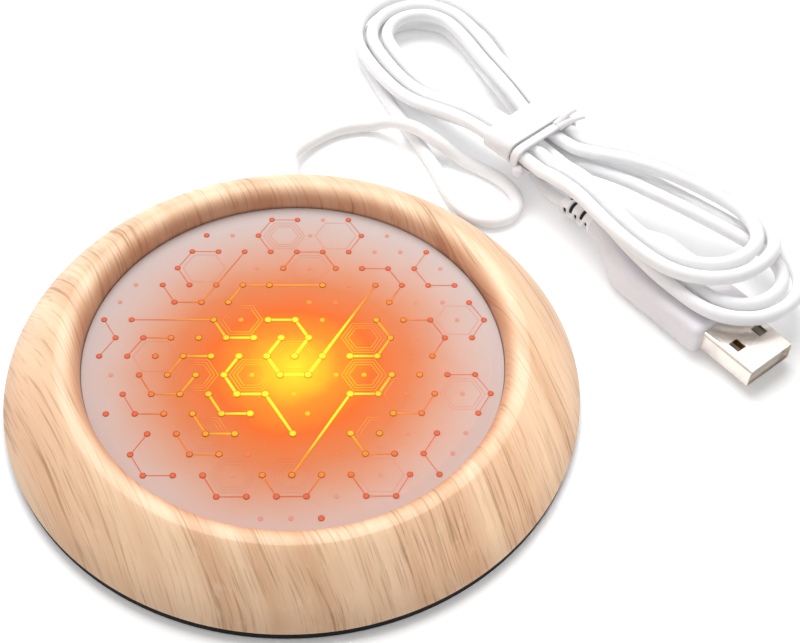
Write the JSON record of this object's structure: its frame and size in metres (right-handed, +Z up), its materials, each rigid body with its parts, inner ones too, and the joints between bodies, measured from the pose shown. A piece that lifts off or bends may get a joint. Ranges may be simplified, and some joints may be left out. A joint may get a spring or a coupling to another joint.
{
  "type": "electric mug warmer",
  "caption": "Round flat mug warmer: a pale wooden ring holds a recessed heated face, with a thin white power cord tied in a hank and a flat plug.",
  "frame": {"origin": "centre of the wooden ring's footprint on the table, at the bottom of the feet", "axes": "+Z up along the ring's axis; the cord leaves the ring at +Y, the back, and its hank and plug lie at +X"},
  "size_m": [0.1513, 0.1645, 0.014],
  "materials": {
    "pale_wood": "satin",
    "printed_film": "matte",
    "plate_aluminium": "satin",
    "amber_film": "gloss",
    "heater_metal": "satin",
    "white_foam": "matte",
    "ivory_case": "matte",
    "red_wire": "gloss",
    "black_wire": "gloss",
    "solder": "satin",
    "black_plastic": "matte",
    "black_rubber": "matte",
    "zinc": "satin",
    "white_cord": "satin",
    "white_strap": "matte",
    "grip_plastic": "satin",
    "shell_steel": "polished",
    "tongue_plastic": "matte",
    "contact_gold": "polished"
  },
  "bodies": {
    "root": {"wood_ring": "pale_wood", "printed_face": "printed_film", "heat_plate": "plate_aluminium", "heater_film": "amber_film", "heater_foil": "heater_metal", "insulation_pad": "white_foam", "thermal_cutout": "ivory_case", "lead_red": "red_wire", "lead_black": "black_wire", "solder_joints": "solder", "base_plate": "black_plastic", "base_screws": "zinc", "rubber_feet": "black_rubber", "cord_clamp": "black_plastic", "clamp_screws": "zinc", "cord_inner_end": "white_cord", "strain_relief": "white_cord", "cord_lead": "white_cord", "cord_hank": "white_cord", "cord_tail": "white_cord", "waist_strap": "white_strap", "wire_tie": "white_strap", "plug_grip": "grip_plastic", "plug_shell": "shell_steel", "plug_tongue": "tongue_plastic", "plug_contacts": "contact_gold"}
  },
  "joints": []
}
